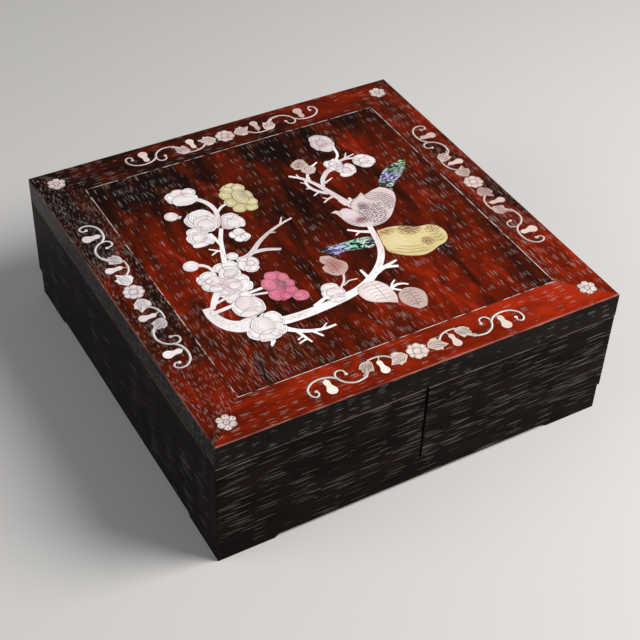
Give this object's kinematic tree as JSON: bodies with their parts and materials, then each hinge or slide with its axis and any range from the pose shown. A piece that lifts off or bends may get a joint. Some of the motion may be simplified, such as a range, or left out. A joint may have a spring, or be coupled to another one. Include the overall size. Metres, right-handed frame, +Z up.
{
  "type": "mahjong case with drawers",
  "caption": "Low square hardwood game case with a lacquered frame-and-panel top inlaid with shell and drawers that slide out side by side at the front.",
  "frame": {"origin": "centre of the footprint, on the surface the case stands on", "axes": "+Z up; +X to the right seen from the front; the drawers are at -Y and slide out towards -Y"},
  "size_m": [0.33, 0.33, 0.1161],
  "materials": {
    "lacquered_rosewood": "gloss lacquer, red-brown with dark mottling, open pores",
    "dark_hardwood": "near-black stain with pale open grain, satin",
    "bare_hardwood": "planed and lightly oiled",
    "white_shell": "polished mother-of-pearl, engraved",
    "rose_shell": "polished rose shell, engraved",
    "yellow_shell": "polished yellow shell, engraved",
    "pink_shell": "polished pink shell, engraved",
    "abalone_shell": "polished abalone shell, green to violet"
  },
  "bodies": {
    "case": {"back_batten": "bare_hardwood", "back_panel": "dark_hardwood", "back_scroll": "white_shell", "base_back_rail": "dark_hardwood", "base_front_rail": "dark_hardwood", "base_left_rail": "dark_hardwood", "base_right_rail": "dark_hardwood", "base_splines": "bare_hardwood", "centre_divider": "bare_hardwood", "corner_flowers": "white_shell", "floor_board": "bare_hardwood", "front_batten": "bare_hardwood", "front_scroll": "white_shell", "left_scroll": "white_shell", "left_side": "dark_hardwood", "picture_bird_feet": "abalone_shell", "picture_bird_tails": "abalone_shell", "picture_blossoms": "white_shell", "picture_branch": "white_shell", "picture_leaves": "rose_shell", "picture_lower_bird": "yellow_shell", "picture_pink_flower": "pink_shell", "picture_upper_bird": "rose_shell", "picture_yellow_flower": "yellow_shell", "right_scroll": "white_shell", "right_side": "dark_hardwood", "top_back_rail": "lacquered_rosewood", "top_front_rail": "lacquered_rosewood", "top_left_rail": "lacquered_rosewood", "top_panel": "lacquered_rosewood", "top_right_rail": "lacquered_rosewood", "top_splines": "bare_hardwood"},
    "left_drawer": {"left_drawer_back": "bare_hardwood", "left_drawer_bottom": "bare_hardwood", "left_drawer_front": "dark_hardwood", "left_drawer_left_side": "bare_hardwood", "left_drawer_right_side": "bare_hardwood"},
    "right_drawer": {"right_drawer_back": "bare_hardwood", "right_drawer_bottom": "bare_hardwood", "right_drawer_front": "dark_hardwood", "right_drawer_left_side": "bare_hardwood", "right_drawer_right_side": "bare_hardwood"}
  },
  "joints": [
    {"name": "left_drawer_slide", "type": "slide", "parent": "case", "child": "left_drawer", "axis": [0, -1, 0], "range_m": [0, 0.25]},
    {"name": "right_drawer_slide", "type": "slide", "parent": "case", "child": "right_drawer", "axis": [0, -1, 0], "range_m": [0, 0.25]}
  ]
}
